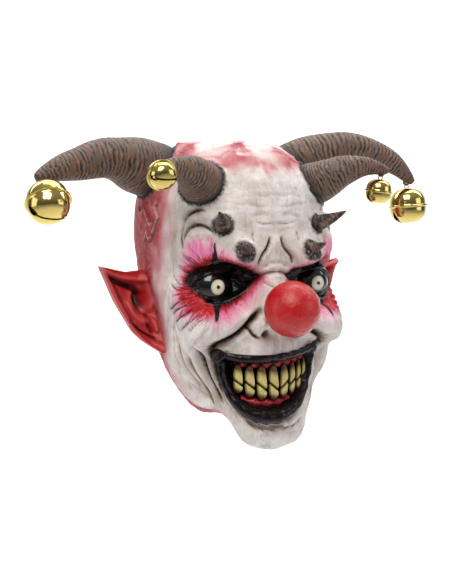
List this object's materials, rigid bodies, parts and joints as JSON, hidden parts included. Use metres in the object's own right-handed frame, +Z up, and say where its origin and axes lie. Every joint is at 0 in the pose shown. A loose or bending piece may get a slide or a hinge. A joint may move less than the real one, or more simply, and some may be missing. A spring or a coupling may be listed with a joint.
{
  "type": "horned clown mask",
  "caption": "Hollow latex over-the-head clown mask with ringed horns, brow spikes, pointed ears, ball nose, grinning teeth and jingle bells tied to the horn tips.",
  "frame": {"origin": "inside of the crown, where the mask sits on the wearer's head", "axes": "+Z up, the face looks along -Y, +X to the wearer's left"},
  "size_m": [0.4445, 0.262, 0.3021],
  "materials": {
    "painted_latex": "cast latex, airbrushed and washed",
    "red_nose": "painted latex, satin",
    "painted_eyes": "painted and varnished",
    "teeth": "painted latex, glossy",
    "ears": "painted latex, satin",
    "spikes": "dry-brushed latex",
    "horns": "dry-brushed latex",
    "bells": "polished",
    "bell_ties": "waxed thread"
  },
  "bodies": {
    "root": {"mask_skin": "painted_latex", "nose_ball": "red_nose", "eye_right": "painted_eyes", "eye_left": "painted_eyes", "upper_teeth": "teeth", "lower_teeth": "teeth", "ear_right": "ears", "ear_left": "ears", "spike_upper_right": "spikes", "spike_upper_left": "spikes", "spike_lower_right": "spikes", "spike_lower_left": "spikes", "horn_large_right": "horns", "horn_large_left": "horns", "horn_small_right": "horns", "horn_small_left": "horns", "bell_large_right": "bells", "bell_tie_large_right": "bell_ties", "bell_large_left": "bells", "bell_tie_large_left": "bell_ties", "bell_small_right": "bells", "bell_tie_small_right": "bell_ties", "bell_small_left": "bells", "bell_tie_small_left": "bell_ties"}
  },
  "joints": []
}
